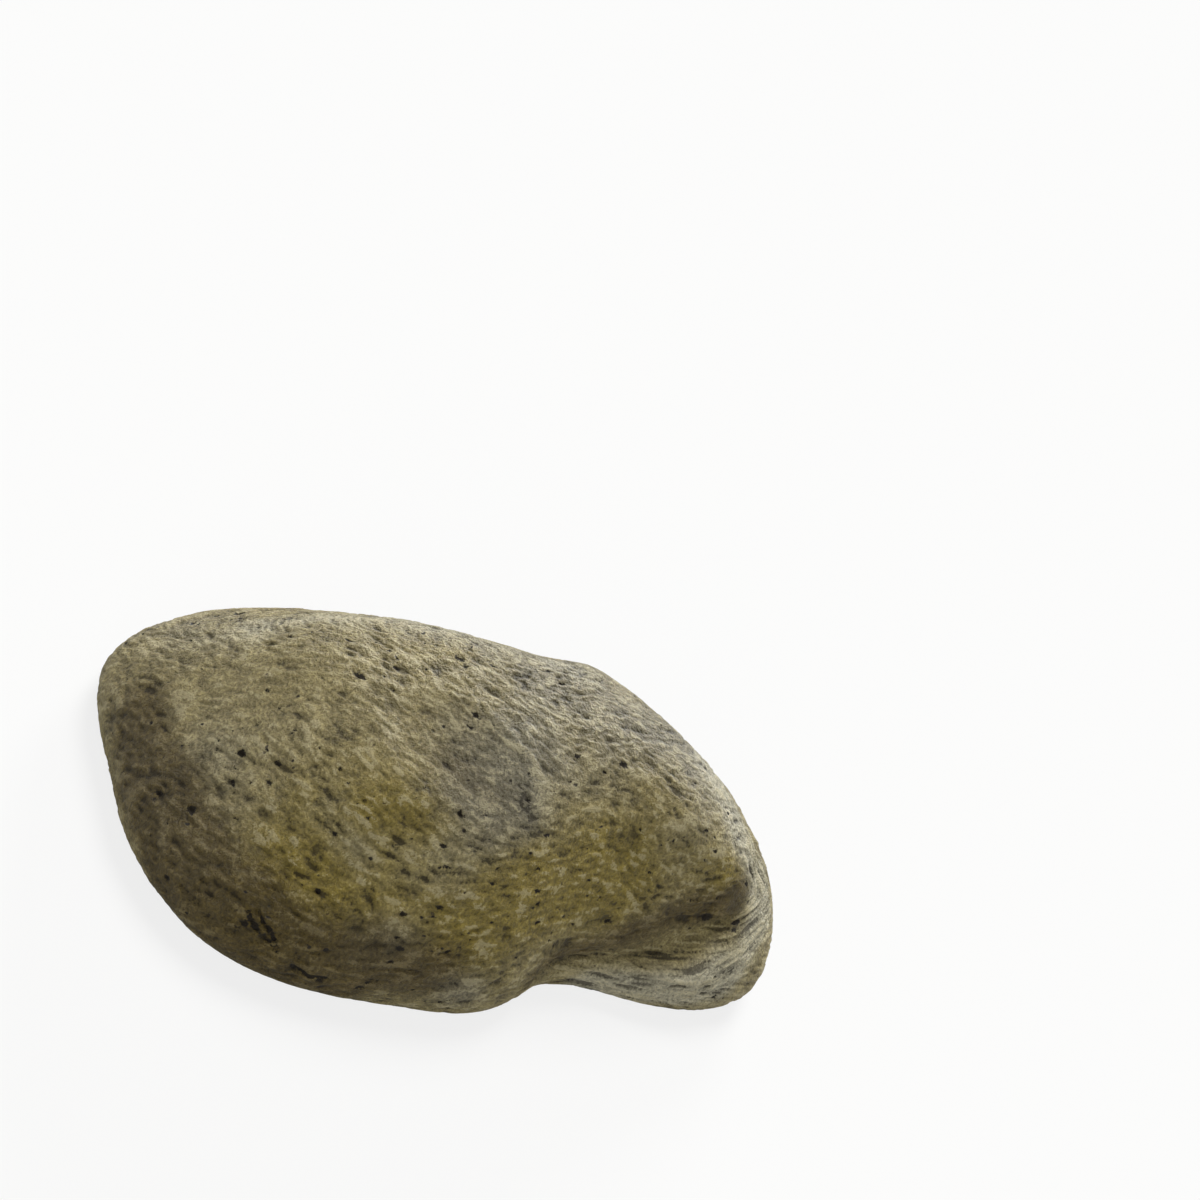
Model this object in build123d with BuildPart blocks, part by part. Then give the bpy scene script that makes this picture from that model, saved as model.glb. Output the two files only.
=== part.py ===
"""Hide-a-key rock: a cast garden stone with a flat underside and a key pocket.

The stone is one cast body that rests on its flat underside. Three layers are
bonded to each other for good, and nothing on it moves:

  stone_skin    the coloured, stone-textured face coat
  resin_core    the resin backing, with the flat underside and the pocket
  pocket_glaze  the thin glossy coat that lines the pocket

Frame: the origin is at the middle of the footprint, on the resting plane.
X runs along the stone, Y across it and Z up. The pocket opens downwards.
"""

import os
from math import cos, radians, tan

from build123d import *

# ---------------------------------------------------------------- sizes (mm)

# the whole stone
rock_length = 136.0
rock_width = 88.0
rock_height = 43.0

# the layers
skin_thickness = 3.0
glaze_thickness = 0.8

# the pocket, measured at its mouth in the resin
pocket_length = 66.0
pocket_width = 42.0
pocket_depth = 26.0
pocket_draft = 14.0
pocket_corner = 8.0
pocket_floor_corner = 5.0
pocket_floor_round = 3.0
pocket_offset_x = 10.0
pocket_offset_y = -2.0

# the shallow hollows in the face, as they would be cut in a level one: the dent
# beside the crown and the cove above the toe
dent_length = 58.0
dent_width = 24.0
dent_depth = 1.8
cove_length = 37.0
cove_width = 14.0
cove_depth = 1.8

# ------------------------------------------------- the shape of the stone
# Plan outlines, each point as a share of the half length and the half width.
# They start at the blunt left nose and run along the front to the right:
# belly and notch in the front, the toe at the front right corner, the cut
# right end, the hollow in the back and the back of the nose.

foot_plan = [
    (-1.01, -0.09), (-0.97, -0.42), (-0.85, -0.72), (-0.61, -0.92),
    (-0.32, -1.00), (-0.12, -1.02), (0.02, -0.96), (0.13, -0.88),
    (0.41, -0.91), (0.71, -0.97), (0.89, -0.87), (1.00, -0.57),
    (0.99, -0.18), (0.93, 0.18), (0.88, 0.55), (0.77, 0.83),
    (0.59, 0.88), (0.40, 0.84), (0.18, 0.90), (-0.15, 0.92),
    (-0.50, 0.93), (-0.78, 0.83), (-0.97, 0.59), (-1.02, 0.25),
]

flank_plan = [
    (-0.88, -0.09), (-0.84, -0.36), (-0.72, -0.64), (-0.52, -0.82),
    (-0.28, -0.91), (-0.10, -0.90), (0.03, -0.84), (0.15, -0.79),
    (0.40, -0.77), (0.65, -0.77), (0.81, -0.69), (0.91, -0.47),
    (0.90, -0.16), (0.82, 0.11), (0.73, 0.39), (0.63, 0.61),
    (0.49, 0.68), (0.32, 0.69), (0.15, 0.75), (-0.13, 0.76),
    (-0.41, 0.75), (-0.65, 0.68), (-0.81, 0.48), (-0.88, 0.20),
]

crown_plan = [
    (-0.70, -0.07), (-0.66, -0.32), (-0.56, -0.51), (-0.40, -0.64),
    (-0.22, -0.70), (-0.08, -0.68), (0.03, -0.64), (0.15, -0.61),
    (0.32, -0.62), (0.50, -0.62), (0.60, -0.52), (0.65, -0.34),
    (0.63, -0.14), (0.56, 0.04), (0.46, 0.23), (0.35, 0.35),
    (0.26, 0.38), (0.18, 0.38), (0.09, 0.40), (-0.08, 0.43),
    (-0.25, 0.46), (-0.42, 0.44), (-0.59, 0.34), (-0.68, 0.16),
]

crown_middle = (0.00, -0.10)

# Levels of the stone, each as (share of the height, plan, spread of the plan).
levels = [
    (0.00, foot_plan, 0.96),
    (0.16, foot_plan, 1.00),
    (0.46, flank_plan, 1.00),
    (0.77, crown_plan, 1.00),
    (0.94, crown_plan, 0.60),
]


def spread_plan(plan, spread):
    """Return the plan drawn larger or smaller about the middle of the crown."""
    middle_x, middle_y = crown_middle
    return [
        (middle_x + (x - middle_x) * spread, middle_y + (y - middle_y) * spread)
        for x, y in plan
    ]


def stone_solid(length, width, height):
    """Loft the stone's closed form through its levels up to the top point."""
    with BuildPart() as stone:
        sections = []
        for rise, plan, spread in levels:
            with BuildSketch(Plane.XY.offset(rise * height)) as level:
                with BuildLine():
                    points = [
                        (x * length / 2, y * width / 2)
                        for x, y in spread_plan(plan, spread)
                    ]
                    Spline(*points, periodic=True)
                make_face()
            sections.append(level.sketch.faces()[0])
        top = Vertex(crown_middle[0] * length / 2, crown_middle[1] * width / 2, height)
        loft(sections=[*sections, top])
    return stone.part


def hollow(spot, run, facing, length, width, depth):
    """Return a long rounded cutter that bites to depth at the spot.

    The spot is a share of the half length, the half width and the height; run and
    facing are the hollow's direction and the way the stone's surface looks there.
    """
    share_x, share_y, share_z = spot
    origin = (share_x * rock_length / 2, share_y * rock_width / 2, share_z * rock_height)
    radius = (width**2 / 4 + depth**2) / (2 * depth)
    middle = Plane(origin=origin, x_dir=run, z_dir=facing).offset(radius - depth)
    with BuildPart() as cutter:
        with BuildSketch(middle):
            Ellipse(radius * length / width, radius)
            split(bisect_by=Plane.XZ)
        revolve(axis=Axis(middle.origin, middle.x_dir))
    return cutter.part


# The stone's outline isn't symmetric, so it is moved until the middle of its
# footprint box lies at the origin.
whole_stone = stone_solid(rock_length, rock_width, rock_height)
backing = stone_solid(
    rock_length - 2 * skin_thickness,
    rock_width - 2 * skin_thickness,
    rock_height - skin_thickness,
)
box_middle = whole_stone.bounding_box().center()
to_origin = Location((-box_middle.X, -box_middle.Y, 0))
whole_stone.move(to_origin)
backing.move(to_origin)

dent = hollow(
    (-0.37, -0.32, 0.914), (0.57, -0.81, -0.12), (-0.16, -0.24, 0.96),
    dent_length, dent_width, dent_depth,
)
cove = hollow(
    (0.50, -0.78, 0.385), (0.95, 0.17, 0.24), (-0.02, -0.87, 0.49),
    cove_length, cove_width, cove_depth,
)

pocket_plane = Plane((pocket_offset_x, pocket_offset_y, 0))


def pocket_plug(inset):
    """Return the solid that fills the pocket, kept clear of its walls by inset."""
    wall_inset = inset / cos(radians(pocket_draft))
    floor_height = pocket_depth - inset
    lean = floor_height * tan(radians(pocket_draft))
    with BuildPart() as plug:
        with BuildSketch(pocket_plane):
            RectangleRounded(
                pocket_length - 2 * wall_inset,
                pocket_width - 2 * wall_inset,
                pocket_corner - inset,
            )
        with BuildSketch(pocket_plane.offset(floor_height)):
            RectangleRounded(
                pocket_length - 2 * wall_inset - 2 * lean,
                pocket_width - 2 * wall_inset - 2 * lean,
                pocket_floor_corner - inset,
            )
        loft()
        fillet(plug.faces().sort_by(Axis.Z)[-1].edges(), pocket_floor_round - inset)
    return plug.part


# ---------------------------------------------------------------- the pieces

# The face coat: everything of the stone outside the resin backing.
with BuildPart() as stone_skin:
    add(whole_stone)
    add(dent, mode=Mode.SUBTRACT)
    add(cove, mode=Mode.SUBTRACT)
    add(backing, mode=Mode.SUBTRACT)
stone_skin.part.label = "stone_skin"

# The backing fills the coat and carries the flat underside and the pocket.
with BuildPart() as resin_core:
    add(backing)
    add(pocket_plug(0), mode=Mode.SUBTRACT)
resin_core.part.label = "resin_core"

# The glaze is a thin cup on the pocket's walls and floor.
with BuildPart() as pocket_glaze:
    add(pocket_plug(0))
    add(pocket_plug(glaze_thickness), mode=Mode.SUBTRACT)
pocket_glaze.part.label = "pocket_glaze"

os.makedirs("parts", exist_ok=True)
for piece in (stone_skin, resin_core, pocket_glaze):
    export_step(piece.part, f"parts/{piece.part.label}.step")
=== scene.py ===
"""A hide-a-key rock, dressed for rendering: a stone-textured cast with a glossy resin
underside and a key pocket.

Lengths in the dataclasses are millimetres in the row frame; meshes are written in metres.
"""
import logging
import math
from dataclasses import dataclass, field
from enum import Enum, IntEnum
from typing import Iterable, Sequence

import bpy
import numpy as np
from mathutils import Matrix, Vector
from mathutils.bvhtree import BVHTree
from mathutils.kdtree import KDTree


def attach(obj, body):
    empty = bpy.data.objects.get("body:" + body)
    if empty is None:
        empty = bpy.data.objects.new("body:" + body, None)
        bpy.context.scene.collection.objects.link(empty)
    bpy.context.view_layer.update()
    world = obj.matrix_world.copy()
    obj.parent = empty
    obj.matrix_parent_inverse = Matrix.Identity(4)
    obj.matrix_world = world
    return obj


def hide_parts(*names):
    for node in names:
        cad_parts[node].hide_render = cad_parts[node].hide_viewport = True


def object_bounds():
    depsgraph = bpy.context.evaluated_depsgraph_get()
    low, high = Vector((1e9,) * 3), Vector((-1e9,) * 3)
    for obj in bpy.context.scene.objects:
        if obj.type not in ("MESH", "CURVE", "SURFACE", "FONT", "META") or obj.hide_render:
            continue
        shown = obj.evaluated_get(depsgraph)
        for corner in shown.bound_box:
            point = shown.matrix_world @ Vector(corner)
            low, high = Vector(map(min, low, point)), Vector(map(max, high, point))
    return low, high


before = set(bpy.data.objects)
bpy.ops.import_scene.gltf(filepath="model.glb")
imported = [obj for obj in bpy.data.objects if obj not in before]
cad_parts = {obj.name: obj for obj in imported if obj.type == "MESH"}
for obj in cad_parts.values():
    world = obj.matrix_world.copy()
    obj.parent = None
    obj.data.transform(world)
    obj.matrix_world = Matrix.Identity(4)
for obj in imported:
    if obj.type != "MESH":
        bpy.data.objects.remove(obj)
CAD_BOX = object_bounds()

log = logging.getLogger("hide_a_key_rock")

Array = np.ndarray
Point = tuple[float, float, float]
Span = tuple[float, float]
# of a noise: wave, detail, roughness
Grain = tuple[float, float, float]
# of pores: spacing, largest radius, share of the places that hold one
Holes = tuple[float, float, float]
# of a ramp: the values it reads from and to, and what it makes of them
Ramp = tuple[float, float, float, float]
Socket = bpy.types.NodeSocket

MM = 0.001
# points of a CAD node closer than this are one
WELD_REACH = 0.002
# the part of Blender's noise that holds most of its values; 0.3 to 0.7 holds nearly all
CLOUD_REACH: Span = (0.38, 0.62)


class Seed(IntEnum):
    """The random draws, each with a start of its own."""

    GRIT = 5
    PITS = 8
    COAT = 11
    WRINKLES = 23
    COARSE_WRINKLES = 29
    PIT_CROWD = 31
    RESIN = 41
    POCKET = 53


# ---- noise and fields


class GradientNoise:
    """Smooth noise in space, the same on every run."""

    # directions in the lattice, a power of two
    CELLS = 256
    # brings the values to about -1 to 1
    GAIN = 1.6
    # cells from one octave to the next
    OCTAVE_SHIFT = 17.3

    def __init__(self, seed: int) -> None:
        """Make the lattice of directions.

        Args:
            seed: Chooses one noise out of many.
        """
        rng = np.random.default_rng(int(seed))
        self.order = np.tile(rng.permutation(self.CELLS), 3)
        directions = rng.standard_normal((self.CELLS, 3))
        self.directions = directions / np.linalg.norm(directions, axis=1)[:, None]

    def at(self, points: Array) -> Array:
        """Return the noise, about -1 to 1.

        Args:
            points: Places, one row each, in lattice cells.

        Returns:
            One value for each place.
        """
        cell = np.floor(points).astype(int)
        part = points - cell
        fade = part**3 * (part * (part * 6 - 15) + 10)
        total = np.zeros(len(points))
        for dx in (0, 1):
            for dy in (0, 1):
                for dz in (0, 1):
                    corner = (cell + (dx, dy, dz)) & (self.CELLS - 1)
                    index = self.order[
                        self.order[self.order[corner[:, 0]] + corner[:, 1]] + corner[:, 2]
                    ]
                    dot = (self.directions[index] * (part - (dx, dy, dz))).sum(1)
                    weight = np.ones(len(points))
                    for axis, step in enumerate((dx, dy, dz)):
                        weight *= fade[:, axis] if step else 1 - fade[:, axis]
                    total += weight * dot
        return total * self.GAIN

    def layered(self, points: Array, wave: float, octaves: int) -> Array:
        """Return several scales of the noise on top of each other.

        Args:
            points: Places in millimetres.
            wave: Length of the largest scale in millimetres.
            octaves: Number of scales, each half the length of the one before.

        Returns:
            One value for each place.
        """
        total = np.zeros(len(points))
        for octave in range(octaves):
            place = points / (wave / 2**octave) + self.OCTAVE_SHIFT * octave
            total += self.at(place) / 2**octave
        return total

    def vectors(self, points: Array, wave: float, shifts: Point) -> Array:
        """Return three values for each place, each with a shift of its own."""
        return np.stack([self.layered(points + shift, wave, 2) for shift in shifts], axis=1)


def smooth_step(low: float, high: float, value: Array) -> Array:
    """Return 0 below low, 1 above high and a smooth ramp between."""
    t = np.clip((value - low) / (high - low), 0, 1)
    return t * t * (3 - 2 * t)


def bell(distance: Array, radius: float) -> Array:
    """Return 1 at no distance, fading out softly past the radius."""
    return np.exp(-((distance / radius) ** 2))


def along_path(points: Array, path: Sequence[Point]) -> tuple[Array, Array, Array]:
    """Measure places against a path.

    Args:
        points: Places in millimetres.
        path: Corners of the path.

    Returns:
        The distance of each place from the path, how far along it lies, 0 to 1, and the
        direction in which the path runs there.
    """
    corners = np.array(path, float)
    lengths = np.linalg.norm(np.diff(corners, axis=0), axis=1)
    starts = np.concatenate([[0], np.cumsum(lengths)])
    nearest = np.full(len(points), np.inf)
    share = np.zeros(len(points))
    run = np.zeros((len(points), 3))
    for start, end, begin, length in zip(corners, corners[1:], starts, lengths):
        t = np.clip(((points - start) @ (end - start)) / length**2, 0, 1)
        distance = np.linalg.norm(points - (start + t[:, None] * (end - start)), axis=1)
        closer = distance < nearest
        nearest = np.where(closer, distance, nearest)
        share = np.where(closer, (begin + t * length) / starts[-1], share)
        run[closer] = (end - start) / length
    return nearest, share, run


@dataclass(frozen=True)
class Furrow:
    """A long hollow, or a long swelling where depth is negative."""

    path: tuple[Point, ...]
    width: float
    depth: float
    ragged: float = 0.0
    # share of the path over which each end fades out
    fade: float = 0.12
    # wave of the raggedness, and its shift for each direction
    ragged_wave: float = 3.0
    ragged_shifts: Point = (0.0, 31.0, 57.0)

    def distance(self, points: Array, noise: GradientNoise) -> tuple[Array, Array]:
        """Measure places against the middle line.

        Args:
            points: Places in millimetres.
            noise: What makes the line ragged.

        Returns:
            How far each place lies from the line, and how deep the furrow is there, 0 to 1.
        """
        moved = points
        if self.ragged:
            moved = points + self.ragged * noise.vectors(
                points, self.ragged_wave, self.ragged_shifts
            )
        distance, share, _ = along_path(moved, self.path)
        start = smooth_step(0.0, self.fade, share)
        return distance, start * smooth_step(0.0, self.fade, 1 - share)

    def relief(self, points: Array, noise: GradientNoise) -> Array:
        """Return how far the surface rises at each place, in millimetres."""
        distance, ends = self.distance(points, noise)
        return -self.depth * ends * bell(distance, self.width)


@dataclass(frozen=True)
class Blob:
    """A round soft area of the surface."""

    centre: Point
    radius: float
    amount: float

    def weight(self, points: Array) -> Array:
        """Return the amount at each place, fading out at the radius."""
        distance = np.linalg.norm(points - np.array(self.centre), axis=1)
        return self.amount * bell(distance, self.radius)


@dataclass(frozen=True)
class Stroke:
    """A long soft area of the surface."""

    path: tuple[Point, ...]
    radius: float
    amount: float

    def weight(self, points: Array) -> Array:
        """Return the amount at each place, fading out at the radius."""
        distance, _, _ = along_path(points, self.path)
        return self.amount * bell(distance, self.radius)


# ---- mesh helpers


def read(items: bpy.types.bpy_prop_collection, name: str, width: int, kind: type) -> Array:
    """Return one property of many mesh elements, one row of that width for each."""
    flat = np.empty(len(items) * width, kind)
    items.foreach_get(name, flat)
    return flat.reshape(-1, width)


@dataclass
class Surface:
    """The points of a mesh in millimetres, with its outward directions and its edges."""

    mesh: bpy.types.Mesh
    points: Array = field(init=False)
    normals: Array = field(init=False)
    edges: Array = field(init=False)

    def __post_init__(self) -> None:
        """Read the mesh."""
        self.points = read(self.mesh.vertices, "co", 3, float) / MM
        self.normals = read(self.mesh.vertex_normals, "vector", 3, float)
        self.edges = read(self.mesh.edges, "vertices", 2, int)

    def blurred(self, values: Array, rounds: int) -> Array:
        """Even values out with those of the points around.

        Args:
            values: One value for each point.
            rounds: How many times to do it.

        Returns:
            The new values.
        """
        count = len(self.points)
        first, second = self.edges.T
        degree = np.bincount(first, minlength=count) + np.bincount(second, minlength=count)
        for _ in range(rounds):
            around = np.bincount(first, values[second], count)
            around += np.bincount(second, values[first], count)
            values = (values + around) / (1 + degree)
        return values

    def tree(self) -> KDTree:
        """Return a search tree of the points."""
        tree = KDTree(len(self.points))
        for index, point in enumerate(self.points):
            tree.insert(point, index)
        tree.balance()
        return tree

    def write(self) -> None:
        """Put the points back into the mesh."""
        self.mesh.vertices.foreach_set("co", (self.points * MM).ravel())
        self.mesh.update()

    def attribute(self, name: str, values: Array) -> None:
        """Store one value for each point for the materials to read."""
        layer = self.mesh.attributes.new(name, "FLOAT", "POINT")
        layer.data.foreach_set("value", values.astype(np.float32))


def fine_copy(node: str, name: str, voxel: float) -> bpy.types.Object:
    """Copy a CAD node with even, fine faces.

    Args:
        node: The CAD node.
        name: Name of the copy.
        voxel: Size of its faces in millimetres.

    Returns:
        The copy, linked to the scene.
    """
    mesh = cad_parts[node].data.copy()
    mesh.name = name
    mesh.materials.clear()
    piece = bpy.data.objects.new(name, mesh)
    bpy.context.scene.collection.objects.link(piece)
    weld = piece.modifiers.new("weld", "WELD")
    weld.merge_threshold = WELD_REACH * MM
    remesh = piece.modifiers.new("even faces", "REMESH")
    remesh.mode = "VOXEL"
    remesh.voxel_size = voxel * MM
    graph = bpy.context.evaluated_depsgraph_get()
    fine = bpy.data.meshes.new_from_object(piece.evaluated_get(graph))
    piece.modifiers.clear()
    piece.data = fine
    bpy.data.meshes.remove(mesh)
    fine.name = name
    return piece


def keep_faces(piece: bpy.types.Object, wanted: Array) -> None:
    """Drop every point that isn't wanted, with the faces that use it.

    Args:
        piece: The object to cut.
        wanted: True for each point that stays.
    """
    mesh = piece.data
    corners = read(mesh.loops, "vertex_index", 1, int)[:, 0]
    # every face of a voxel remesh has four corners, one after the other
    faces = corners[read(mesh.polygons, "loop_start", 1, int) + np.arange(4)]
    faces = faces[wanted[faces].all(axis=1)]
    used = np.unique(faces)
    renumber = np.full(len(mesh.vertices), -1)
    renumber[used] = np.arange(len(used))
    places = read(mesh.vertices, "co", 3, float)
    cut = bpy.data.meshes.new(mesh.name)
    cut.from_pydata(places[used].tolist(), [], renumber[faces].tolist())
    cut.polygons.foreach_set("use_smooth", np.ones(len(cut.polygons), bool))
    piece.data = cut
    bpy.data.meshes.remove(mesh)


def against_node(points: Array, normals: Array, node: str) -> tuple[Array, Array]:
    """Compare a surface with a CAD node's surface.

    Args:
        points: Places in millimetres.
        normals: The way the surface looks at each place.
        node: The CAD node.

    Returns:
        How far each place lies from the node's surface, and whether it looks into the node.
    """
    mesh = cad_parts[node].data
    places = [v.co / MM for v in mesh.vertices]
    tree = BVHTree.FromPolygons(places, [tuple(p.vertices) for p in mesh.polygons])
    found = [tree.find_nearest(Vector(p)) for p in points]
    outward = np.array([hit[1] for hit in found])
    return np.array([hit[3] for hit in found]), (outward * normals).sum(1) < 0


def inside_box(points: Array, margin: float = 0.01) -> Array:
    """Return the places held inside the CAD model's box, margin millimetres from its sides."""
    low, high = CAD_BOX
    return np.clip(points, np.array(low) / MM + margin, np.array(high) / MM - margin)


# ---- materials


def linear(colour: str) -> tuple[float, float, float, float]:
    """Turn an sRGB colour into a linear one by the sRGB curve.

    Args:
        colour: The colour as # and six hex digits.

    Returns:
        Linear red, green, blue and alpha.
    """
    parts = [int(colour[i : i + 2], 16) / 255 for i in (1, 3, 5)]
    red, green, blue = (
        part / 12.92 if part <= 0.04045 else ((part + 0.055) / 1.055) ** 2.4 for part in parts
    )
    return red, green, blue, 1.0


class Shader:
    """The node tree of a material or world, with short ways to add to it."""

    def __init__(self, owner: bpy.types.ID) -> None:
        """Empty the tree of a material or world."""
        owner.use_nodes = True
        self.owner = owner
        self.tree = owner.node_tree
        self.tree.nodes.clear()

    def feed(self, socket: Socket, value: object) -> None:
        """Link a socket to another one, or set it to a constant."""
        if isinstance(value, Socket):
            self.tree.links.new(value, socket)
        else:
            socket.default_value = value

    def add(self, kind: str, **links: object) -> bpy.types.Node:
        """Add a node.

        Args:
            kind: The node's type without the ShaderNode in front.
            **links: Input name, with _ for a space, to a socket or a constant.

        Returns:
            The node.
        """
        node = self.tree.nodes.new("ShaderNode" + kind)
        for key, value in links.items():
            wanted = key.replace("_", " ")
            self.feed(next(s for s in node.inputs if s.name == wanted and s.enabled), value)
        return node

    def in_order(self, kind: str, *values: object) -> bpy.types.Node:
        """Add a node, feed its inputs in their order and return it."""
        node = self.tree.nodes.new("ShaderNode" + kind)
        for socket, value in zip(node.inputs, values):
            self.feed(socket, value)
        return node

    def math(self, operation: str, *values: object) -> Socket:
        """Work out a value from one or two others."""
        node = self.in_order("Math", *values)
        node.operation = operation
        return node.outputs[0]

    def vector(self, operation: str, *values: object) -> Socket:
        """Work out a vector from two others."""
        node = self.in_order("VectorMath", *values)
        node.operation = operation
        return node.outputs[0]

    def plus(self, first: object, second: object) -> Socket:
        """Return the sum of two values."""
        return self.math("ADD", first, second)

    def minus(self, first: object, second: object) -> Socket:
        """Return the first value less the second."""
        return self.math("SUBTRACT", first, second)

    def times(self, first: object, second: object) -> Socket:
        """Return the product of two values."""
        return self.math("MULTIPLY", first, second)

    def value(self, attribute: str) -> Socket:
        """Read a value stored on the mesh."""
        node = self.add("Attribute")
        node.attribute_name = attribute
        return node.outputs["Fac"]

    def ramp(
        self, source: object, low: float, high: float, start: float = 0.0, end: float = 1.0
    ) -> Socket:
        """Map low to high onto start to end, clamped, and return the result."""
        node = self.add(
            "MapRange", Value=source, From_Min=low, From_Max=high, To_Min=start, To_Max=end
        )
        return node.outputs["Result"]

    def mix(self, amount: object, first: object, second: object, blend: str = "MIX") -> Socket:
        """Mix two colours.

        Args:
            amount: Share of the second colour.
            first: A socket or a linear colour.
            second: The same.
            blend: Blender's name for the way of mixing.

        Returns:
            The mixed colour.
        """
        node = self.tree.nodes.new("ShaderNodeMix")
        node.data_type = "RGBA"
        node.blend_type = blend
        # a colour mix has its amount at input 0 and its colours at 6 and 7
        for index, value in ((0, amount), (6, first), (7, second)):
            self.feed(node.inputs[index], value)
        return node.outputs[2]

    def noise(
        self, place: object, wave: float, detail: float = 3.0, roughness: float = 0.5
    ) -> Socket:
        """Add noise with a wave of that many millimetres and return its value."""
        node = self.add(
            "TexNoise", Vector=place, Scale=1 / (wave * MM), Detail=detail, Roughness=roughness
        )
        return node.outputs["Fac"]

    def pores(self, place: object, spacing: float, largest: float, share: float) -> Socket:
        """Scatter pores of mixed sizes through space.

        Args:
            place: Where each point lies.
            spacing: Mean millimetres between the places that may hold a pore.
            largest: Radius of the largest pore in millimetres.
            share: Share of those places that hold one.

        Returns:
            1 in a pore and 0 outside.
        """
        edge = 0.05
        cells = self.add("TexVoronoi", Vector=place, Scale=1 / (spacing * MM))
        chance = self.add("SeparateColor", Color=cells.outputs["Color"]).outputs["Red"]
        radius = self.ramp(chance, 1 - share, 1.0, 0.0, largest / spacing)
        outside = self.minus(cells.outputs["Distance"], radius)
        return self.ramp(outside, -edge, 0.0, 1.0, 0.0)

    def bent(self, place: object, wave: float, reach: float) -> Socket:
        """Move a place about by noise.

        Args:
            place: The place.
            wave: Wave of the noise in millimetres.
            reach: About how far the place moves, in millimetres.

        Returns:
            The new place.
        """
        noise = self.add("TexNoise", Vector=place, Scale=1 / (wave * MM), Detail=2.0)
        push = self.vector("SUBTRACT", noise.outputs["Color"], (0.5, 0.5, 0.5))
        push = self.vector("MULTIPLY", push, (reach * MM,) * 3)
        return self.vector("ADD", place, push)

    def place(self) -> Socket:
        """Return the place in the object's own frame."""
        return self.add("TexCoord").outputs["Object"]

    def bump(self, height: object, depth: float) -> Socket:
        """Add fine relief of that many millimetres and return its normal."""
        node = self.add("Bump", Height=height, Distance=depth * MM, Strength=1.0)
        return node.outputs["Normal"]

    def either(self, amount: object, first: Socket, second: Socket) -> Socket:
        """Mix two surfaces by an amount and return the result."""
        return self.in_order("MixShader", amount, first, second).outputs[0]

    def finish(self, **inputs: object) -> bpy.types.Material:
        """Close a material's tree with a principled surface and return the material."""
        self.add("OutputMaterial", Surface=self.add("BsdfPrincipled", **inputs).outputs["BSDF"])
        return self.owner


# ---- the stone coat


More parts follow.
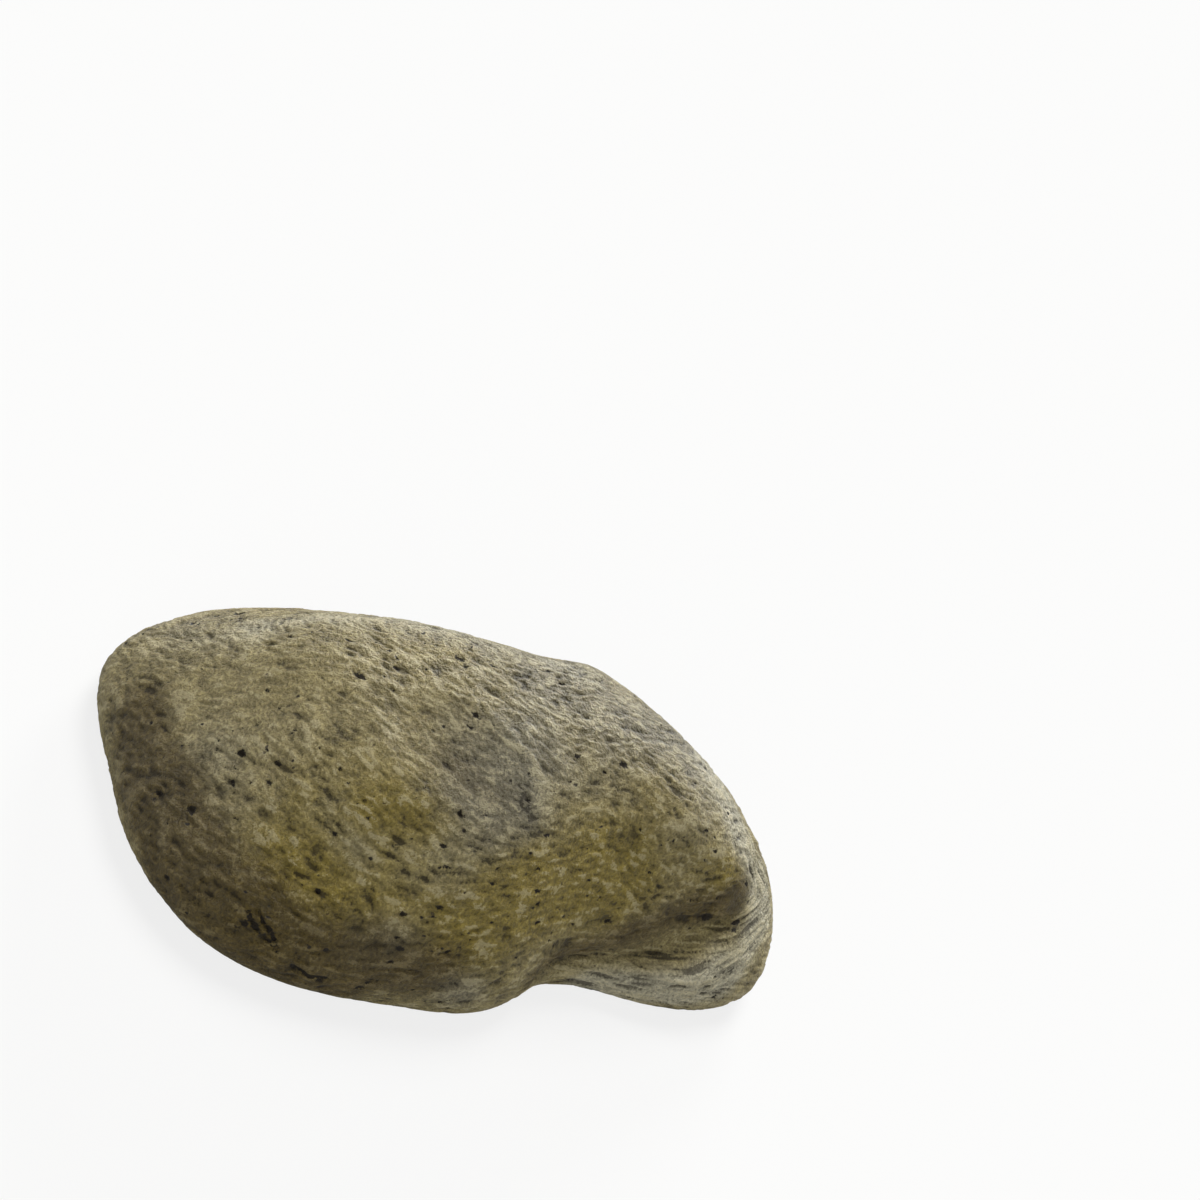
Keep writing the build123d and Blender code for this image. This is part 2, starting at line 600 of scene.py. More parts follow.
@dataclass(frozen=True)
class StoneFinish:
    """Mineral paint sponged on a rough cast: matte, with painted shade in the pores, pits and
    creases, and drybrushed paint with painted highlight on the ridges.
    """

    khaki: str = "#9c8f63"
    olive: str = "#8c7b35"
    grey: str = "#878068"
    # drybrushed pale paint, partly painted highlight: on the crest, the toe's lip and the cut end
    # it stands for light
    pale: str = "#c8c2a9"
    # painted shade: the dark of the low flank round the nose end, of the cove over the toe's lip
    # and of the dent
    painted_shade: str = "#504117"
    # drybrushed paint and painted highlight on the tops of the wrinkles
    ridge_drybrush_and_highlight: str = "#c2b791"
    # painted shade, nearly black, in pores, pinholes, creases, pits and cracks
    pore: str = "#20180b"
    roughness: float = 0.6
    ior: float = 1.5
    # how much of the paint below the pale colour (drybrushed paint with painted highlight) and the
    # painted shade cover
    pale_cover: float = 0.8
    painted_shade_cover: float = 0.85
    # how the grain is drawn out, and how it bends and frays (wave and reach)
    stretch: Point = (0.62, 1.0, 0.95)
    bend: Span = (16.0, 9.0)
    fray: Span = (0.9, 0.5)
    # unevenness from large to small, and the light and dark of each: the patches' is uneven tone,
    # while lumps, grit and wrinkles also raise the relief, so theirs is painted shade in its
    # hollows and painted light on its tops
    patches: Grain = (7.0, 4.0, 0.65)
    lumps: Grain = (2.2, 3.0, 0.6)
    grit: Grain = (0.62, 3.0, 0.65)
    patch_light: Ramp = (0.3, 0.7, 0.86, 1.14)
    lump_painted_shading: Ramp = (0.36, 0.64, 0.90, 1.10)
    grit_painted_shading: Ramp = (0.34, 0.66, 0.74, 1.26)
    wrinkle_painted_shading: Ramp = (-2.4, 2.4, 0.62, 1.40)
    pores: Holes = (2.1, 0.40, 0.65)
    pinholes: Holes = (0.95, 0.19, 0.5)
    # how patches crowd pores and creases
    pore_crowd: Ramp = (0.40, 0.56, 0.15, 1.0)
    crease_crowd: Ramp = (0.36, 0.56, 0.3, 1.0)
    # where creases and ridges lie on the wrinkles, whose spread is 1, moved by grit
    creases: Ramp = (-2.25, -1.8, 1.0, 0.0)
    ridges: Span = (0.9, 1.6)
    wrinkle_grit: Ramp = (0.3, 0.7, -0.9, 0.9)
    # the edge of pits and cracks, and how far grit moves it
    pit_edge: Ramp = (-0.06, 0.08, 1.0, 0.0)
    pit_grit: Ramp = (0.3, 0.7, -0.2, 0.2)
    # painted shade in pores, pinholes, creases and pits; paleness of the ridges' drybrush and
    # painted highlight off and on the painted shade
    hollow_shade: tuple[float, ...] = (0.95, 0.75, 0.55, 0.95)
    ridge_pale: Span = (0.5, 0.12)
    lump_height: float = 0.6
    grit_height: float = 0.9
    wrinkle_height: float = 0.22
    sunk_depth: float = 0.6

    def material(self) -> bpy.types.Material:
        """Build the material from the values stored on the mesh and return it."""
        s = Shader(bpy.data.materials.new("Mineral paint sponged on rough cast coat"))
        place = s.place()
        along = s.vector("MULTIPLY", s.bent(place, *self.bend), self.stretch)
        frayed = s.bent(along, *self.fray)
        patches = s.noise(place, *self.patches)
        lumps = s.noise(along, *self.lumps)
        grit = s.noise(place, *self.grit)
        wrinkles = s.plus(s.value("streak"), s.ramp(grit, *self.wrinkle_grit))
        pits = s.ramp(s.plus(s.value("gap"), s.ramp(grit, *self.pit_grit)), *self.pit_edge)
        crowd = s.ramp(patches, *self.pore_crowd)
        pores = s.times(s.pores(frayed, *self.pores), crowd)
        pinholes = s.times(s.pores(frayed, *self.pinholes), crowd)
        crowd = s.ramp(patches, *self.crease_crowd)
        creases = s.times(s.ramp(wrinkles, *self.creases), crowd)
        # painted shade in the hollows: the strongest of pores, pinholes, creases and pits
        sunk = 0.0
        for kind, dark in zip((pores, pinholes, creases, pits), self.hollow_shade):
            sunk = s.math("MAXIMUM", sunk, s.times(kind, dark))

        base = s.mix(s.value("olive"), linear(self.khaki), linear(self.olive))
        base = s.mix(s.value("grey"), base, linear(self.grey))
        # drybrushed pale paint and painted highlight on the toe's lip, the cut end and the crest
        base = s.mix(s.times(s.value("pale"), self.pale_cover), base, linear(self.pale))
        # painted shade over the low flank round the nose end, the cove over the toe's lip and the
        # dent
        base = s.mix(s.times(s.value("painted_shade"), self.painted_shade_cover), base, linear(self.painted_shade))
        # painted shade in the hollows and painted light on the tops of wrinkles, lumps and grit,
        # times uneven tone from the patches
        light = s.ramp(wrinkles, *self.wrinkle_painted_shading)
        spans = (self.patch_light, self.lump_painted_shading, self.grit_painted_shading)
        for noise, span in zip((patches, lumps, grit), spans):
            light = s.times(light, s.ramp(noise, *span))
        tint = s.add("CombineColor", Red=light, Green=light, Blue=light).outputs["Color"]
        base = s.mix(1.0, base, tint, "MULTIPLY")
        # the ridges get drybrushed paint and painted highlight, less of it on the painted shade
        shown = s.ramp(s.value("painted_shade"), 0.0, 1.0, *self.ridge_pale)
        base = s.mix(s.times(s.ramp(wrinkles, *self.ridges), shown), base, linear(self.ridge_drybrush_and_highlight))
        # painted shade in pores, pinholes, creases, pits and cracks
        base = s.mix(sunk, base, linear(self.pore))
        height = s.plus(s.times(lumps, self.lump_height), s.times(grit, self.grit_height))
        height = s.plus(height, s.times(wrinkles, self.wrinkle_height))
        normal = s.bump(s.minus(height, s.times(sunk, self.sunk_depth)), 1.0)
        return s.finish(Base_Color=base, Roughness=self.roughness, IOR=self.ior, Normal=normal)


@dataclass(frozen=True)
class Pits:
    """Small pits scattered over the coat and drawn out along its flow."""

    count: int = 330
    # the smallest radius, the mean of what is added to it, and length over width
    smallest: float = 0.13
    spread: float = 0.14
    stretch: Span = (1.0, 2.4)
    # depth over radius, how steep the sides are, and how far a pit acts, with its length
    depth: float = 1.3
    steepness: float = 1.4
    reach: Span = (1.2, 1.6)
    # how far outside a pit a place with none near counts
    farthest: float = 2.0
    # where pits crowd: the noise's wave and span, the foot's height, share left elsewhere
    crowd_wave: float = 18.0
    crowd: Span = (-0.6, 0.8)
    foot: Span = (1.0, 3.0)
    fewest: float = 0.05

    def scatter(self, surface: Surface, flow: Array) -> tuple[Array, Array]:
        """Scatter the pits.

        Args:
            surface: The coat's surface.
            flow: Direction of the wrinkles at each point.

        Returns:
            How far the surface rises at each point, and how far it lies outside the nearest pit,
            in millimetres, below 0 inside one.
        """
        rng = np.random.default_rng(int(Seed.PITS))
        tree = surface.tree()
        rise = np.zeros(len(flow))
        gap = np.full(len(flow), self.farthest)
        noise = GradientNoise(Seed.PIT_CROWD).layered(surface.points, self.crowd_wave, 2)
        crowd = smooth_step(*self.crowd, noise)
        crowd *= smooth_step(*self.foot, surface.points[:, 2])
        chance = (crowd + self.fewest) / (crowd + self.fewest).sum()
        for centre in rng.choice(len(flow), self.count, p=chance):
            radius = self.smallest + self.spread * rng.exponential()
            long = radius * rng.uniform(*self.stretch)
            along = flow[centre]
            across = np.cross(surface.normals[centre], along)
            reach = self.reach[0] + self.reach[1] * long
            for _, index, _ in tree.find_range(surface.points[centre], reach):
                offset = surface.points[index] - surface.points[centre]
                away = math.hypot(offset @ along / long, offset @ across / radius)
                hollow = -self.depth * radius * math.exp(-(away**2) * self.steepness)
                rise[index] = min(rise[index], hollow)
                gap[index] = min(gap[index], (away - 1) * radius)
        return rise, gap


@dataclass
class StoneCoat:
    """The coloured, stone-textured face coat with its granular edge round the underside."""

    voxel: float = 0.38
    # what lies nearer to the resin than the wall, above the edge, is buried
    wall: float = 1.0
    edge_height: float = 1.2
    soften: int = 8
    # the cove over the toe's lip, its run round the cut end, the lip and two swells
    furrows: tuple[Furrow, ...] = (
        Furrow(((2, -39, 7.5), (14, -37, 9), (26, -36, 11.2), (38, -34.5, 14.6), (49, -31, 19)),
               2.6, 1.8),
        Furrow(((44, -33, 17), (52, -28, 20.5), (56, -21, 24), (54, -10, 29)), 2.8, 0.8),
        Furrow(((20, -38, 5), (32, -39, 7), (44, -38.5, 10), (54, -33, 14.5)), 3.0, -0.8),
        Furrow(((-46, 16, 30), (-38, 2, 37), (-34, -14, 37), (-28, -28, 31)), 7.0, -0.5),
        Furrow(((2, -10, 43), (16, -16, 39), (32, -18, 35)), 6.0, -0.5),
    )
    cracks: tuple[Furrow, ...] = (
        Furrow(((-57.6, -25, 11.9), (-53.1, -30.1, 11.4), (-50.5, -33, 10.1), (-47.5, -35.5, 8.3),
                (-43.3, -37.7, 6.1), (-35.2, -39.9, 5.5)), 0.42, 0.8, 0.5),
        Furrow(((-52, -30.5, 12.5), (-49.2, -33.8, 10.8), (-45.6, -36.4, 8.0)), 0.34, 0.7, 0.5),
        Furrow(((-17.5, -41, 13), (-14, -42, 9), (-16, -42.5, 3)), 0.45, 0.9, 0.8),
        Furrow(((-68, -4, 12), (-68.5, -2, 9), (-68, 1, 7)), 0.3, 0.6, 0.5),
    )
    # the lip, along which the wrinkles are combed
    combed: tuple[Stroke, ...] = (
        Stroke(((8, -37, 4), (26, -38, 5), (40, -38, 9), (52, -34, 16), (58, -27, 21),
                (55, -20, 27)), 5.5, 3.0),
    )
    # areas of colour, and of painted highlight and painted shade; those on the far side are
    # guessed
    grey: tuple[Blob, ...] = (
        Blob((-18, -20, 38), 14, 1.0), Blob((8, 0, 43), 20, 0.9), Blob((36, -8, 37), 14, 0.7),
        Blob((-14, -42, 8), 6, 0.9), Blob((-58, -8, 20), 9, 0.6), Blob((-30, -37, 14), 6, 0.6),
        Blob((4, 36, 22), 17, 0.8), Blob((-52, 26, 14), 11, 0.6), Blob((60, 12, 14), 10, 0.6),
    )
    olive: tuple[Blob, ...] = (
        Blob((14, -29, 27), 16, 1.0), Blob((-2, -31, 28), 12, 0.8), Blob((-30, -27, 30), 14, 0.85),
        Blob((-48, -31, 12), 12, 0.9), Blob((44, -26, 27), 11, 1.0), Blob((-15, -38, 16), 13, 0.9),
        Blob((-42, -24, 25), 12, 0.75), Blob((-46, 8, 32), 14, 0.3),
        Blob((-28, 36, 16), 13, 0.7), Blob((38, 32, 18), 13, 0.7), Blob((58, -4, 22), 9, 0.5),
    )
    # drybrushed pale paint, with painted highlight on the toe's lip, the cut end and the crest
    pale: tuple[Stroke, ...] = (
        Stroke(((20, -38, 3), (28, -38.5, 4.5), (38, -39.5, 7), (46, -38, 10)), 4.6, 1.6),
        Stroke(((50, -36, 12), (57, -29, 18)), 4.0, 0.9),
        Stroke(((56, -24, 24), (51, -22, 28), (45, -19, 32), (42, -8, 38)), 7.0, 1.2),
        Stroke(((-46, 20, 28), (-28, 20, 34), (-10, 14, 41), (12, 9, 43)), 9.0, 0.62),
        Stroke(((-46, -21, 26), (-30, -31, 25), (-20, -33, 27)), 8.0, 0.34),
    )
    # painted shade on the low flank round the nose end (two strokes), in the cove over the toe's
    # lip and in the dent
    painted_shade: tuple[Stroke, ...] = (
        Stroke(((-66, 10, 14), (-66, -4, 10), (-62, -19, 8), (-52, -31, 6), (-36, -40, 5)),
               7.0, 1.0),
        Stroke(((-63, -10, 14), (-57, -25, 14), (-46, -35, 12), (-32, -39, 13), (-22, -41, 12)),
               8.0, 0.9),
        Stroke(((4, -38, 9), (14, -36.5, 12), (22, -35, 15.5), (34, -32, 20), (46, -29, 23)),
               5.0, 1.15),
        Stroke(((-28, -12, 40), (-22, -19, 38), (-14, -24, 36)), 6.5, 0.5),
    )
    # the noise on the areas, and the weights from which and at which their paint shows
    area_wave: float = 14.0
    area_noise: float = 0.25
    area_edge: Span = (0.1, 1.05)
    # the layers' upward direction, and the noise that turns it
    strata: Point = (0.10, 0.42, 0.85)
    strata_wave: float = 45.0
    strata_turn: float = 0.45
    # wrinkles: step of drawing out in voxels, waves, share of the coarse ones
    draw_step: float = 1.5
    wave: float = 1.1
    coarse_wave: float = 4.2
    coarse_share: float = 0.45
    # rounds of drawing out wrinkles, grit and hair
    rounds: tuple[int, int, int] = (2, 1, 14)
    # relief, and the height at which wrinkles turn flat
    wrinkle_height: float = 0.13
    grit_height: float = 0.025
    comb_height: float = 0.15
    plateau: float = 0.6
    # how strongly each shows in the colour
    grit_shown: float = 0.25
    comb_shown: float = 1.5
    wrinkles_combed_out: float = 0.85
    # swells of the whole surface: wave and height
    swell: Span = (22.0, 0.25)
    ripple: Span = (6.0, 0.12)
    settle: float = 0.3
    # the foot: relief fades out, and the edge that faces down is granular
    foot: Span = (-0.2, 1.5)
    facing_down: Span = (0.75, 0.95)
    grain_wave: float = 1.6
    grain_height: Span = (0.35, 0.18)
    grain_limits: Span = (0.05, 1.0)
    margin: float = 0.02
    pits: Pits = Pits()

    def build(self) -> bpy.types.Object:
        """Build the coat, dress it, tie it to its CAD node and return it."""
        piece = fine_copy("stone_skin", "stone_coat", self.voxel)
        self.drop_inner_side(piece)
        surface = Surface(piece.data)
        surface.points = np.stack(
            [surface.blurred(axis, self.soften) for axis in surface.points.T], axis=1
        )
        noise = GradientNoise(Seed.COAT)
        flow = self.flow(surface, noise)
        broad, fine, hair = self.wrinkles(surface, flow)
        combing = np.clip(sum(line.weight(surface.points) for line in self.combed), 0, 1)
        rise, gap = self.pits.scatter(surface, flow)
        rise += self.forms(surface, noise)
        flat = self.wrinkle_height * np.minimum(broad, self.plateau)
        rise += flat + self.grit_height * fine + self.comb_height * combing * hair
        for crack in self.cracks:
            rise += crack.relief(surface.points, noise)
            away, ends = crack.distance(surface.points, noise)
            gap = np.minimum(gap, away - crack.width + (1 - ends))
        before = surface.points.copy()
        rise *= smooth_step(*self.foot, before[:, 2])
        surface.points = before + rise[:, None] * surface.normals
        surface.points[:, 2] += self.granular_edge(before, surface.normals, noise)
        surface.points = inside_box(surface.points, self.margin)
        surface.write()
        plain_share = 1 - self.wrinkles_combed_out * combing
        combed = self.comb_shown * combing * hair
        surface.attribute("streak", plain_share * broad + self.grit_shown * fine + combed)
        surface.attribute("gap", gap)
        self.paint(surface, before, noise)
        return tie(piece, "stone_skin", StoneFinish().material())

    def granular_edge(self, points: Array, normals: Array, noise: GradientNoise) -> Array:
        """Return how far the grains round the underside reach up, in millimetres."""
        underside = smooth_step(*self.facing_down, -normals[:, 2]) * (points[:, 2] < self.foot[1])
        mean, spread = self.grain_height
        grains = mean + spread * noise.layered(points, self.grain_wave, 2)
        return underside * np.clip(grains, *self.grain_limits)

    def paint(self, surface: Surface, points: Array, noise: GradientNoise) -> None:
        """Store how much of each colour lies at each point.

        Args:
            surface: Where to store it.
            points: The smooth surface's points.
            noise: What makes the areas uneven.
        """
        # the pale areas hold drybrushed paint with painted highlight, and the dark strokes hold
        # painted shade
        areas = {"grey": self.grey, "olive": self.olive, "pale": self.pale, "painted_shade": self.painted_shade}
        for number, (name, places) in enumerate(areas.items(), start=3):
            weight = sum(area.weight(points) for area in places)
            weight += self.area_noise * noise.layered(points + 100 * number, self.area_wave, 4)
            surface.attribute(name, smooth_step(*self.area_edge, weight))

    def drop_inner_side(self, piece: bpy.types.Object) -> None:
        """Take away the side of the coat that lies against the resin."""
        surface = Surface(piece.data)
        high = surface.points[:, 2] > self.edge_height
        away, inward = against_node(surface.points[high], surface.normals[high], "resin_core")
        buried = np.zeros(len(high), bool)
        buried[high] = (away < self.wall) & inward
        keep_faces(piece, ~buried)

    def flow(self, surface: Surface, noise: GradientNoise) -> Array:
        """Find the direction along which the wrinkles run.

        Args:
            surface: The coat's surface.
            noise: What turns the layers.

        Returns:
            A direction of length 1 for each point.
        """
        turn = noise.vectors(surface.points, self.strata_wave, (5.0, 90.0, 140.0))
        layers = np.array(self.strata) + self.strata_turn * turn
        along = np.cross(surface.normals, layers)
        for line in self.combed:
            run = along_path(surface.points, line.path)[2]
            side = np.sign((along * run).sum(1))[:, None]
            along = along + line.weight(surface.points)[:, None] * side * run
        along -= (along * surface.normals).sum(1)[:, None] * surface.normals
        return along / np.linalg.norm(along, axis=1).clip(1e-6)[:, None]

    def wrinkles(self, surface: Surface, flow: Array) -> tuple[Array, Array, Array]:
        """Draw noise out along the flow.

        Args:
            surface: The coat's surface.
            flow: Direction of the wrinkles at each point.

        Returns:
            Broad wrinkles, fine grit and long hair-fine streaks, each with a spread of 1.
        """
        tree = surface.tree()
        step = self.draw_step * self.voxel
        ahead = np.array([tree.find(p)[1] for p in surface.points + step * flow])
        behind = np.array([tree.find(p)[1] for p in surface.points - step * flow])
        rng = np.random.default_rng(int(Seed.GRIT))
        fine = surface.blurred(rng.standard_normal(len(flow)), 1)
        broad = GradientNoise(Seed.WRINKLES).at(surface.points / self.wave)
        coarse = GradientNoise(Seed.COARSE_WRINKLES)
        broad += self.coarse_share * coarse.layered(surface.points, self.coarse_wave, 2)
        hair = surface.blurred(rng.standard_normal(len(flow)), 1)

        def drawn_out(values: Array, rounds: int) -> Array:
            """Draw values out along the flow and bring their spread to 1."""
            for _ in range(rounds):
                values = (values + values[ahead] + values[behind]) / 3
            return (values - values.mean()) / values.std()

        return tuple(map(drawn_out, (broad, fine, hair), self.rounds))

    def forms(self, surface: Surface, noise: GradientNoise) -> Array:
        """Return the broad swells and furrows of the coat in millimetres."""
        points = surface.points
        rise = self.swell[1] * noise.layered(points, self.swell[0], 2)
        rise += self.ripple[1] * noise.layered(points + 40, self.ripple[0], 3)
        for furrow in self.furrows:
            rise += furrow.relief(points, noise)
        return rise - self.settle


# ---- the resin backing


@dataclass(frozen=True)
class ResinFinish:
    """Poured polyester resin, cured against air: glossy and tan, with grey filler in the flow
    marks, painted highlight along their edges and on the bubbles, bubbles burst to pinholes
    holding painted shade, and a dark reflection painted as a V-shaped patch at the pointed end."""

    tan: str = "#9a8a68"
    brown: str = "#7b6a4a"
    filler: str = "#6a6753"
    # a dark reflection painted as a V-shaped patch at the pointed end
    painted_reflection: str = "#5f5b4c"
    # painted highlight along the edges of the flow marks and on the bubbles
    painted_highlight: str = "#b8ad86"
    # painted shade in the pinholes and the scratch
    hole_shade: str = "#1d1810"
    roughness: Ramp = (0.3, 0.7, 0.16, 0.30)
    ior: float = 1.55
    cloud: Grain = (20.0, 4.0, 0.55)
    flow: Grain = (17.0, 3.0, 0.5)
    ripple: Grain = (6.0, 3.0, 0.5)
    dullness: Grain = (9.0, 5.0, 0.7)
    # how the flow is drawn out and bends, and where filler and the painted highlight along its
    # edge lie
    stretch: Point = (0.55, 1.0, 1.0)
    bend: Span = (18.0, 22.0)
    filler_span: Span = (0.53, 0.57)
    highlight_span: Span = (0.50, 0.53)
    # the edge of the dark reflection painted at the pointed end: its place on the middle line,
    # slope, wander and softness
    reflection_start: float = -55.0
    reflection_slope: float = 0.75
    reflection_wander: float = 6.0
    reflection_blur: float = 0.6
    holes: Holes = (5.5, 0.75, 0.6)
    bubbles: Holes = (9.0, 1.5, 0.4)
    # the scratch's edge: the wave that frays it, how far, and its span
    scratch_wave: float = 0.7
    scratch_fray: Ramp = (0.3, 0.7, -0.1, 0.1)
    scratch_edge: Ramp = (-0.05, 0.05, 1.0, 0.0)
    # how much filler, painted highlight on the flow edges, painted reflection and painted
    # highlight on the bubbles cover
    cover: tuple[float, ...] = (0.75, 0.5, 0.85, 0.4)
    # fine relief, and shares of it
    relief: float = 0.35
    filler_height: float = 0.25
    bubble_height: float = 0.5
    hole_depth: float = 0.8

    def material(self) -> bpy.types.Material:
        """Build the material and return it."""
        s = Shader(bpy.data.materials.new("Poured resin cured glossy in air"))
        place = s.place()
        flowing = s.bent(s.vector("MULTIPLY", place, self.stretch), *self.bend)
        flow = s.noise(flowing, *self.flow)
        filler = s.ramp(flow, *self.filler_span)
        # painted highlight along the edge of the filler
        painted_highlight = s.minus(s.ramp(flow, *self.highlight_span), filler)
        # a dark reflection painted as a V-shaped patch at the pointed end
        parts = s.add("SeparateXYZ", Vector=place).outputs
        slope = s.times(s.math("ABSOLUTE", parts["Y"]), self.reflection_slope)
        ahead = s.minus(s.minus(parts["X"], slope), self.reflection_start * MM)
        wander = self.reflection_wander * MM
        ahead = s.plus(ahead, s.ramp(flow, 0.3, 0.7, -wander, wander))
        painted_reflection = s.ramp(ahead, -self.reflection_blur * MM, self.reflection_blur * MM, 1.0, 0.0)
        holes = s.pores(place, *self.holes)
        bubbles = s.pores(place, *self.bubbles)
        fray = s.ramp(s.noise(place, self.scratch_wave), *self.scratch_fray)
        scratch = s.ramp(s.plus(s.value("gap"), fray), *self.scratch_edge)

        cloud = s.ramp(s.noise(place, *self.cloud), *CLOUD_REACH)
        base = s.mix(cloud, linear(self.tan), linear(self.brown))
        # filler, then painted highlight on the flow edges, the painted reflection and painted
        # highlight on the bubbles
        colours = (self.filler, self.painted_highlight, self.painted_reflection, self.painted_highlight)
        for share, cover, colour in zip((filler, painted_highlight, painted_reflection, bubbles), self.cover, colours):
            base = s.mix(s.times(share, cover), base, linear(colour))
        # painted shade in the pinholes and the scratch
        base = s.mix(s.math("MAXIMUM", holes, scratch), base, linear(self.hole_shade))
        rough = s.ramp(s.noise(place, *self.dullness), *self.roughness)
        height = s.plus(s.noise(flowing, *self.ripple), s.times(filler, self.filler_height))
        height = s.plus(height, s.times(bubbles, self.bubble_height))
        normal = s.bump(s.minus(height, s.times(holes, self.hole_depth)), self.relief)
        return s.finish(Base_Color=base, Roughness=rough, IOR=self.ior, Normal=normal)


@dataclass
class ResinCore:
    """The flat glossy underside round the pocket's mouth."""

    voxel: float = 0.5
    # only what lies below this can be seen
    shown_height: float = 2.2
    # swell of the poured face: wave, depth, its mean and spread, highest
    flow_wave: float = 16.0
    flow_depth: float = 0.32
    flow_level: Span = (0.45, 0.5)
    highest: float = 0.6
    facing_down: Span = (0.5, 0.9)
    scratch: Furrow = Furrow(((-38, 14, 0), (-31, 20, 0), (-24, 24, 0)), 0.12, 0.1, 0.3)

    def build(self) -> bpy.types.Object:
        """Build the underside, dress it, tie it to its CAD node and return it."""
        piece = fine_copy("resin_core", "resin_backing", self.voxel)
        keep_faces(piece, Surface(piece.data).points[:, 2] < self.shown_height)
        surface = Surface(piece.data)
        noise = GradientNoise(Seed.RESIN)
        points = surface.points
        away, ends = self.scratch.distance(points, noise)
        surface.attribute("gap", away - self.scratch.width + (1 - ends))
        mean, spread = self.flow_level
        swell = self.flow_depth * (mean + spread * noise.layered(points, self.flow_wave, 3))
        level = smooth_step(*self.facing_down, -surface.normals[:, 2])
        points[:, 2] += level * np.clip(swell, 0.0, self.highest)
        surface.points = inside_box(points)
        surface.write()
        return tie(piece, "resin_core", ResinFinish().material())


# ---- the pocket


@dataclass(frozen=True)
class GlazeFinish:
    """Resin brushed on in a thick wet coat: very glossy and amber, with nearly black painted shade
    mixed in by noise and along the brush streaks, a dull pitted floor with painted shade in its
    pits and a painted highlight on the lip at the mouth."""

    amber: str = "#4d390f"
    # painted shade, nearly black, for the dark of the pocket
    deep: str = "#1a1308"
    floor: str = "#50462d"
    # painted highlight along the lip at the mouth
    lip: str = "#a89b74"
    # painted shade in the floor's pits
    hole_shade: str = "#0f0b05"
    roughness: float = 0.09
    ior: float = 1.55
    wet_layer: float = 0.4
    floor_roughness: float = 0.30
    lip_height: float = 0.7
    lip_fade: float = 0.5
    floor_height: float = 21.0
    floor_fade: float = 2.0
    cloud: Grain = (12.0, 4.0, 0.6)
    streaks: Grain = (1.5, 3.0, 0.6)
    ripple: Grain = (2.4, 3.0, 0.5)
    # how the brush streaks are drawn out and bend, and where they carry painted shade and are dull
    stretch: Point = (1.0, 1.0, 0.16)
    bend: Span = (14.0, 5.0)
    dark_streaks: Span = (0.5, 0.66)
    dull_streaks: Ramp = (0.4, 0.7, 0.0, 0.10)
    streak_cover: float = 0.5
    streak_height: float = 0.8
    # how clouds thin the floor's dust
    dust: Ramp = (0.35, 0.6, 0.95, 0.45)
    # how much painted highlight covers the lip
    lip_cover: float = 0.85
    holes: Holes = (3.0, 0.6, 0.6)
    relief: float = 0.3

    def material(self) -> bpy.types.Material:
        """Build the material and return it."""
        s = Shader(bpy.data.materials.new("Brushed-on wet resin coat"))
        place = s.place()
        height = s.add("SeparateXYZ", Vector=place).outputs["Z"]
        cloud = s.noise(place, *self.cloud)
        drawn = s.vector("MULTIPLY", s.bent(place, *self.bend), self.stretch)
        streaks = s.noise(drawn, *self.streaks)
        floor = s.ramp(height, self.floor_height * MM, (self.floor_height + self.floor_fade) * MM)
        lip_top = self.lip_height + self.lip_fade
        mouth = s.ramp(height, self.lip_height * MM, lip_top * MM, 1.0, 0.0)
        holes = s.times(s.pores(place, *self.holes), floor)
        # painted shade, nearly black, mixed into the amber by noise
        base = s.mix(s.ramp(cloud, *CLOUD_REACH), linear(self.amber), linear(self.deep))
        # more painted shade along the brush streaks
        dark = s.times(s.ramp(streaks, *self.dark_streaks), self.streak_cover)
        base = s.mix(dark, base, linear(self.deep))
        dust = s.times(floor, s.ramp(cloud, *self.dust))
        base = s.mix(dust, base, linear(self.floor))
        # painted highlight along the lip at the mouth
        base = s.mix(s.times(mouth, self.lip_cover), base, linear(self.lip))
        # painted shade in the floor's pits
        base = s.mix(holes, base, linear(self.hole_shade))
        rough = s.ramp(floor, 0.0, 1.0, self.roughness, self.floor_roughness)
        rough = s.plus(rough, s.ramp(streaks, *self.dull_streaks))
        relief = s.plus(s.noise(place, *self.ripple), s.times(streaks, self.streak_height))
        normal = s.bump(s.minus(relief, holes), self.relief)
        return s.finish(
            Base_Color=base, Roughness=rough, IOR=self.ior, Normal=normal,
            Coat_Weight=self.wet_layer,
        )


@dataclass
class PocketGlaze:
    """The thin glossy coat on the pocket's walls and floor, with its lip at the mouth."""

    voxel: float = 0.44
    # unevenness of the coat above its lip: wave, height and lowest place
    wave: float = 7.0
    height: float = 0.14
    lowest: float = 0.8

    def build(self) -> bpy.types.Object:
        """Build the coat, dress it, tie it to its CAD node and return it."""
        piece = fine_copy("pocket_glaze", "pocket_coat", self.voxel)
        surface = Surface(piece.data)
        rise = self.height * GradientNoise(Seed.POCKET).layered(surface.points, self.wave, 2)
        rise = np.where(surface.points[:, 2] > self.lowest, rise, 0)
        moved = surface.points + rise[:, None] * surface.normals
        surface.points = inside_box(moved)
        surface.write()
        piece.data.polygons.foreach_set("use_smooth", np.ones(len(piece.data.polygons), bool))
        return tie(piece, "pocket_glaze", GlazeFinish().material())


def tie(piece: bpy.types.Object, node: str, coat: bpy.types.Material) -> bpy.types.Object:
    """Give an object its material and let it stand for its CAD node, moving with the stone.

    Args:
        piece: The object.
        node: The CAD node, which is also its material slot in the record.
        coat: The material.

    Returns:
        The same object.
    """
    piece.data.materials.append(coat)
    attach(piece, "root")
    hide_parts(node)
    return piece


# ---- floor, light and camera


class Lamp(Enum):
    """The soft lamps: direction it shines from, spread in degrees, strength."""

    OVERHEAD = ((0.26, 0.41, 0.81), 28.0, 2.8)
    REAR = ((0.60, 0.70, 0.28), 20.0, 2.35)
    FRONT = ((-0.45, -0.72, 0.52), 45.0, 1.15)


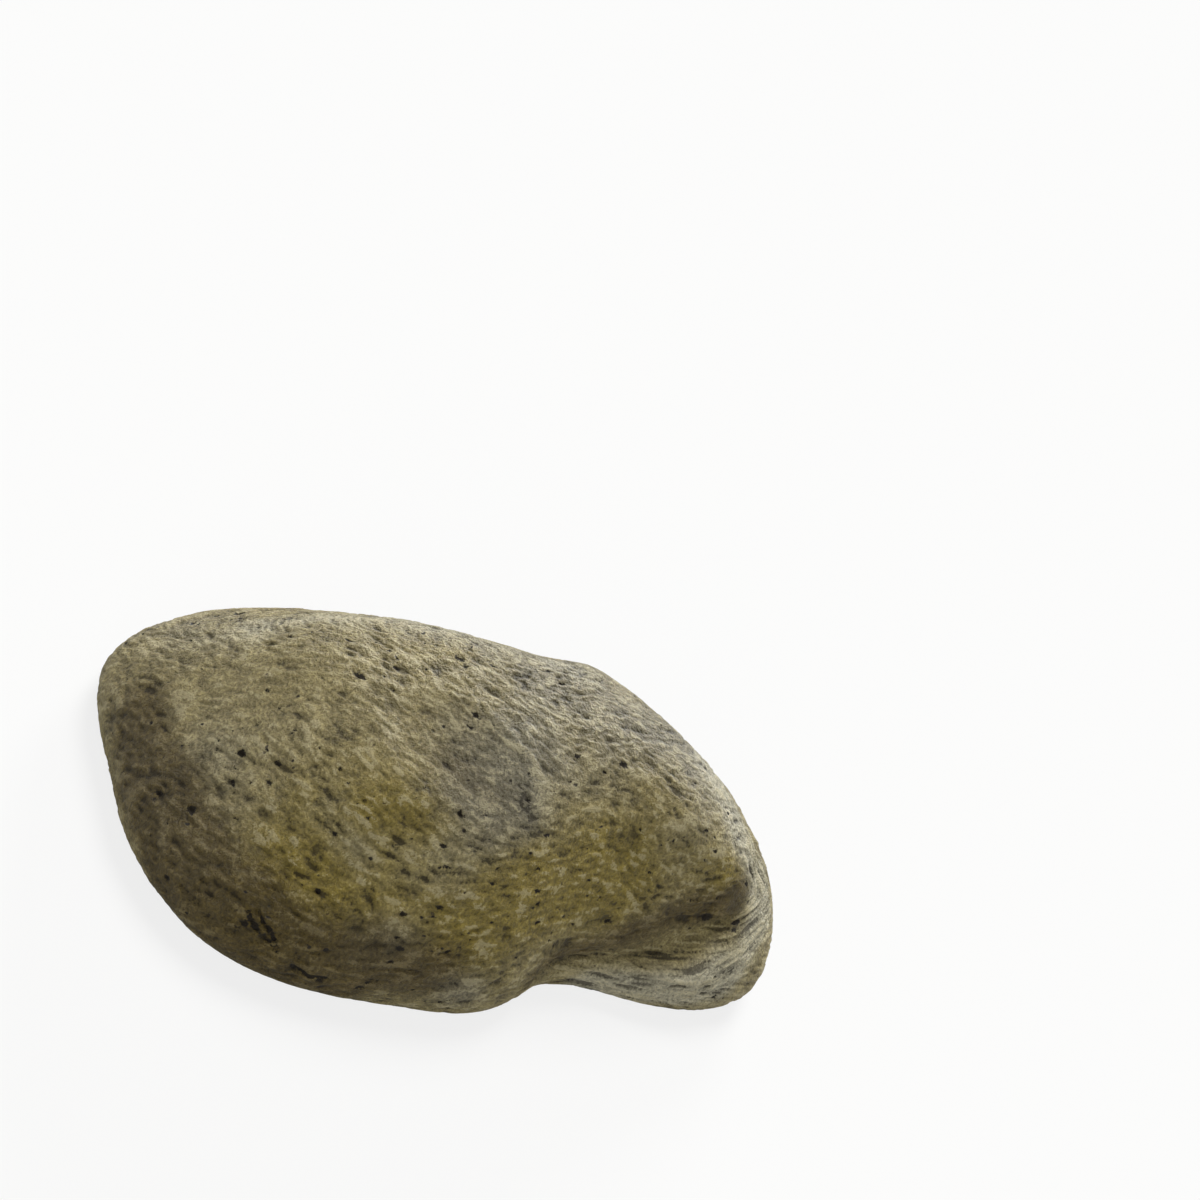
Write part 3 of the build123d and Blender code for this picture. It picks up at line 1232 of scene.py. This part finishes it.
@dataclass
class Studio:
    """A pale plain floor under soft overhead light."""

    floor: str = "#cfcfcc"
    # share of pure white in the floor as seen, and the room's even light
    whiteness: float = 0.8
    room_light: float = 0.20
    # the floor's half width and depth below the stone, in metres
    half: float = 6.0
    drop: float = 0.0002
    # the camera: degrees, distance from its aim, lens
    azimuth: float = 43.76
    elevation: float = 30.72
    roll: float = 37.8
    distance: float = 333.3
    aim: Point = (18.60, 23.62, 45.83)
    lens: float = 51.0
    sensor: float = 36.0
    clip: Span = (0.01, 20.0)

    def build(self) -> None:
        """Set the floor, the lamps, the backdrop and the camera."""
        self.lay_floor()
        for lamp in Lamp:
            self.hang(lamp)
        self.light_room()
        self.place_camera()

    def lay_floor(self) -> None:
        """Make the floor."""
        mesh = bpy.data.meshes.new("floor")
        sides = (-self.half, self.half)
        corners = [(x, y, -self.drop) for y in sides for x in sides]
        mesh.from_pydata(corners, [], [(0, 1, 3, 2)])
        mesh.materials.append(self.paper())
        floor = bpy.data.objects.new("floor", mesh)
        bpy.context.scene.collection.objects.link(floor)

    def paper(self) -> bpy.types.Material:
        """Return the floor's material: nearly white, with a pale shadow, clear from below."""
        s = Shader(bpy.data.materials.new("Seamless matte studio paper"))
        paper = s.add("BsdfDiffuse", Color=linear(self.floor)).outputs[0]
        white = s.add("Emission", Strength=1.0).outputs[0]
        seen = s.times(s.add("LightPath").outputs["Is Camera Ray"], self.whiteness)
        shown = s.either(seen, paper, white)
        below = s.add("NewGeometry").outputs["Backfacing"]
        clear = s.add("BsdfTransparent").outputs[0]
        s.add("OutputMaterial", Surface=s.either(below, shown, clear))
        return s.owner

    def hang(self, lamp: Lamp) -> None:
        """Hang one soft lamp that faces the stone."""
        direction, spread, strength = lamp.value
        light = bpy.data.lights.new(lamp.name.lower(), "SUN")
        light.angle = math.radians(spread)
        light.energy = strength
        holder = bpy.data.objects.new(lamp.name.lower(), light)
        holder.rotation_euler = Vector(direction).to_track_quat("Z", "Y").to_euler()
        bpy.context.scene.collection.objects.link(holder)

    def light_room(self) -> None:
        """Light the room evenly and show pure white behind the floor."""
        s = Shader(bpy.data.worlds.new("room"))
        white = linear("#ffffff")
        room = s.add("Background", Color=white, Strength=self.room_light).outputs[0]
        shown = s.add("Background", Color=white, Strength=1.0).outputs[0]
        seen = s.add("LightPath").outputs["Is Camera Ray"]
        s.add("OutputWorld", Surface=s.either(seen, room, shown))
        bpy.context.scene.world = s.owner

    def place_camera(self) -> None:
        """Point the rolled camera at the stone."""
        azimuth, elevation, roll = map(math.radians, (self.azimuth, self.elevation, self.roll))
        reach = math.cos(elevation)
        ahead = Vector(
            (math.sin(azimuth) * reach, math.cos(azimuth) * reach, -math.sin(elevation))
        )
        level = Vector((math.cos(azimuth), -math.sin(azimuth), 0))
        upright = level.cross(ahead)
        right = math.cos(roll) * level + math.sin(roll) * upright
        up = math.cos(roll) * upright - math.sin(roll) * level
        camera = bpy.data.objects.new("camera", bpy.data.cameras.new("camera"))
        camera.data.lens = self.lens
        camera.data.sensor_width = self.sensor
        camera.data.clip_start, camera.data.clip_end = self.clip
        place = Vector(self.aim) * MM - ahead * self.distance * MM
        camera.matrix_world = Matrix((right, up, -ahead)).transposed().to_4x4()
        camera.location = place
        bpy.context.scene.collection.objects.link(camera)
        bpy.context.scene.camera = camera


def main() -> None:
    """Build the stone's pieces and the studio."""
    for sub_assembly in (StoneCoat(), ResinCore(), PocketGlaze()):
        piece = sub_assembly.build()
        log.info("%s: %d faces", piece.name, len(piece.data.polygons))
    Studio().build()
    scene = bpy.context.scene
    scene.view_settings.view_transform = "Standard"


if __name__ == "__main__":
    logging.basicConfig(level=logging.INFO, format="%(message)s")
    main()
